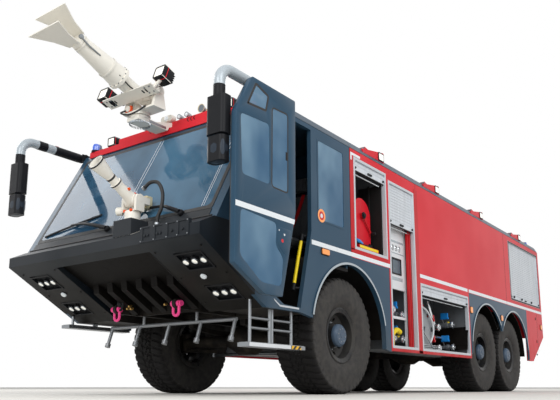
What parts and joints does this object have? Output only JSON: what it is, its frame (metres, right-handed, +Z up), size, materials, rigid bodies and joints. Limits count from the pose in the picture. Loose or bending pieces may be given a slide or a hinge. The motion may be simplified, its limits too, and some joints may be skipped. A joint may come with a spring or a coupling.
{
  "type": "airport fire truck",
  "caption": "Three-axle airport fire truck with roof and bumper water monitors, swing-out cab doors, open side lockers, steered front wheels and rolling wheels.",
  "frame": {"origin": "on the ground, under the middle of the overall length and of the body's width", "axes": "+X forward, +Y to the truck's left, +Z up"},
  "size_m": [11.7832, 3.542, 3.8206],
  "materials": {
    "frame_black": "satin black chassis paint",
    "rubber": "tyre rubber",
    "rim_black": "gloss black steel rim",
    "grey_blue": "grey-blue metallic coach paint",
    "fire_red": "gloss fire red coach paint",
    "cream": "cream powder coat",
    "shutter_silver": "anodised roller shutter slats",
    "locker_grey": "grey locker lining",
    "steel": "bare machined steel",
    "glass": "tinted safety glass",
    "trim_black": "matt black moulded plastic",
    "lamp_clear": "clear lamp lens",
    "lamp_blue": "blue beacon dome",
    "tank_grey": "moulded tank",
    "shackle_pink": "bright pink painted shackles",
    "panel_grey": "pale grey powder coat",
    "seat_fabric": "dark seat cloth"
  },
  "bodies": {
    "truck": {"chassis_frame": "frame_black", "axles": "frame_black", "driveline": "frame_black", "engine": "steel", "water_tank": "tank_grey", "air_tanks": "frame_black", "cab_floor": "frame_black", "cab_sides": "grey_blue", "cab_roof": "grey_blue", "windscreen_frame": "grey_blue", "cab_glass": "glass", "dashboard": "trim_black", "seats": "seat_fabric", "nose": "frame_black", "grille": "steel", "headlamps": "lamp_clear", "roof_strip": "fire_red", "roof_lamps": "lamp_blue", "mirrors": "trim_black", "steps": "steel", "tow_shackles": "shackle_pink", "monitor_bases": "cream", "body_sides": "fire_red", "body_roof": "grey_blue", "body_ends": "fire_red", "fenders": "grey_blue", "locker_liners": "locker_grey", "shutters": "shutter_silver", "reel_cases": "fire_red", "pump_panels": "panel_grey", "pipework": "steel"},
    "wheel_front_left": {"tyre_front_left": "rubber", "rim_front_left": "rim_black"},
    "wheel_front_right": {"tyre_front_right": "rubber", "rim_front_right": "rim_black"},
    "wheel_middle_left": {"tyre_middle_left": "rubber", "rim_middle_left": "rim_black"},
    "wheel_middle_right": {"tyre_middle_right": "rubber", "rim_middle_right": "rim_black"},
    "wheel_rear_left": {"tyre_rear_left": "rubber", "rim_rear_left": "rim_black"},
    "wheel_rear_right": {"tyre_rear_right": "rubber", "rim_rear_right": "rim_black"},
    "steer_left": {"knuckle_left": "frame_black"},
    "steer_right": {"knuckle_right": "frame_black"},
    "track_rod": {"tie_rod": "steel"},
    "steering_hand_wheel": {"steering_wheel": "trim_black"},
    "arm_left": {"door_arm_left": "trim_black"},
    "leaf_left": {"door_left": "grey_blue", "door_glass_left": "glass"},
    "arm_right": {"door_arm_right": "trim_black"},
    "leaf_right": {"door_right": "grey_blue", "door_glass_right": "glass"},
    "roof_gun_turn": {"roof_monitor_head": "cream"},
    "roof_gun_lift": {"roof_monitor_barrel": "cream"},
    "bumper_gun_turn": {"bumper_monitor_head": "cream"},
    "bumper_gun_lift": {"bumper_monitor_barrel": "cream"},
    "reel_left": {"hose_reel_left": "fire_red"},
    "reel_right": {"hose_reel_right": "fire_red"}
  },
  "joints": [
    {"name": "steer_left", "type": "hinge", "parent": "truck", "child": "steer_left", "pos_m": [2.61, 1.1, 0.685], "axis": [0, 0, 1], "range_deg": [-28, 28]},
    {"name": "steer_right", "type": "hinge", "parent": "truck", "child": "steer_right", "pos_m": [2.61, -1.1, 0.685], "axis": [0, 0, 1], "range_deg": [-28, 28]},
    {"name": "tie_rod_pin", "type": "hinge", "parent": "steer_left", "child": "track_rod", "pos_m": [2.29, 0.88, 0.5267], "axis": [0, 0, 1], "range_deg": [-34.6, 34.6]},
    {"name": "steering_wheel_turn", "type": "hinge", "parent": "truck", "child": "steering_hand_wheel", "pos_m": [4.475, 0, 1.727], "axis": [-0.7193, 0, 0.6947], "range_deg": [-504, 504]},
    {"name": "door_arm_left", "type": "hinge", "parent": "truck", "child": "arm_left", "pos_m": [4.25, 1.34, 1.8], "axis": [0, 0, 1], "range_deg": [0, 115.85]},
    {"name": "door_leaf_left", "type": "hinge", "parent": "arm_left", "child": "leaf_left", "pos_m": [4.52473, 1.735, 1.8], "axis": [0, 0, 1], "range_deg": [-115.85, 0]},
    {"name": "door_arm_right", "type": "hinge", "parent": "truck", "child": "arm_right", "pos_m": [4.25, -1.34, 1.8], "axis": [0, 0, 1], "range_deg": [0, 115.85]},
    {"name": "door_leaf_right", "type": "hinge", "parent": "arm_right", "child": "leaf_right", "pos_m": [3.77473, -1.415, 1.8], "axis": [0, 0, 1], "range_deg": [-115.85, 0]},
    {"name": "roof_monitor_turn", "type": "hinge", "parent": "truck", "child": "roof_gun_turn", "pos_m": [4.59, 0, 3.1], "axis": [0, 0, 1], "range_deg": [-120, 120]},
    {"name": "roof_monitor_lift", "type": "hinge", "parent": "roof_gun_turn", "child": "roof_gun_lift", "pos_m": [4.59, 0, 3.34], "axis": [0, -1, 0], "range_deg": [-10, 50]},
    {"name": "bumper_monitor_turn", "type": "hinge", "parent": "truck", "child": "bumper_gun_turn", "pos_m": [5.03, 0.45, 1.8], "axis": [0, 0, 1], "range_deg": [-75, 75]},
    {"name": "bumper_monitor_lift", "type": "hinge", "parent": "bumper_gun_turn", "child": "bumper_gun_lift", "pos_m": [5.03, 0.45, 1.94], "axis": [0, -1, 0], "range_deg": [-25, 45]},
    {"name": "hose_reel_left", "type": "hinge", "parent": "truck", "child": "reel_left", "pos_m": [1.855, 1.115, 2.32], "axis": [0, 1, 0], "continuous": true},
    {"name": "hose_reel_right", "type": "hinge", "parent": "truck", "child": "reel_right", "pos_m": [1.855, -1.115, 2.32], "axis": [0, 1, 0], "continuous": true},
    {"name": "roll_front_left", "type": "hinge", "parent": "steer_left", "child": "wheel_front_left", "pos_m": [2.61, 1.19, 0.685], "axis": [0, 1, 0], "continuous": true},
    {"name": "roll_front_right", "type": "hinge", "parent": "steer_right", "child": "wheel_front_right", "pos_m": [2.61, -1.19, 0.685], "axis": [0, 1, 0], "continuous": true},
    {"name": "roll_middle_left", "type": "hinge", "parent": "truck", "child": "wheel_middle_left", "pos_m": [-2.12, 1.19, 0.685], "axis": [0, 1, 0], "continuous": true},
    {"name": "roll_middle_right", "type": "hinge", "parent": "truck", "child": "wheel_middle_right", "pos_m": [-2.12, -1.19, 0.685], "axis": [0, 1, 0], "continuous": true},
    {"name": "roll_rear_left", "type": "hinge", "parent": "truck", "child": "wheel_rear_left", "pos_m": [-3.57, 1.19, 0.685], "axis": [0, 1, 0], "continuous": true},
    {"name": "roll_rear_right", "type": "hinge", "parent": "truck", "child": "wheel_rear_right", "pos_m": [-3.57, -1.19, 0.685], "axis": [0, 1, 0], "continuous": true}
  ],
  "couplings": [
    {"joint": "steer_right", "follows": "steer_left", "ratio": 1},
    {"joint": "tie_rod_pin", "follows": "steer_left", "ratio": -1.232},
    {"joint": "steering_wheel_turn", "follows": "steer_left", "ratio": 18},
    {"joint": "door_leaf_left", "follows": "door_arm_left", "ratio": -1},
    {"joint": "door_leaf_right", "follows": "door_arm_right", "ratio": -1}
  ]
}
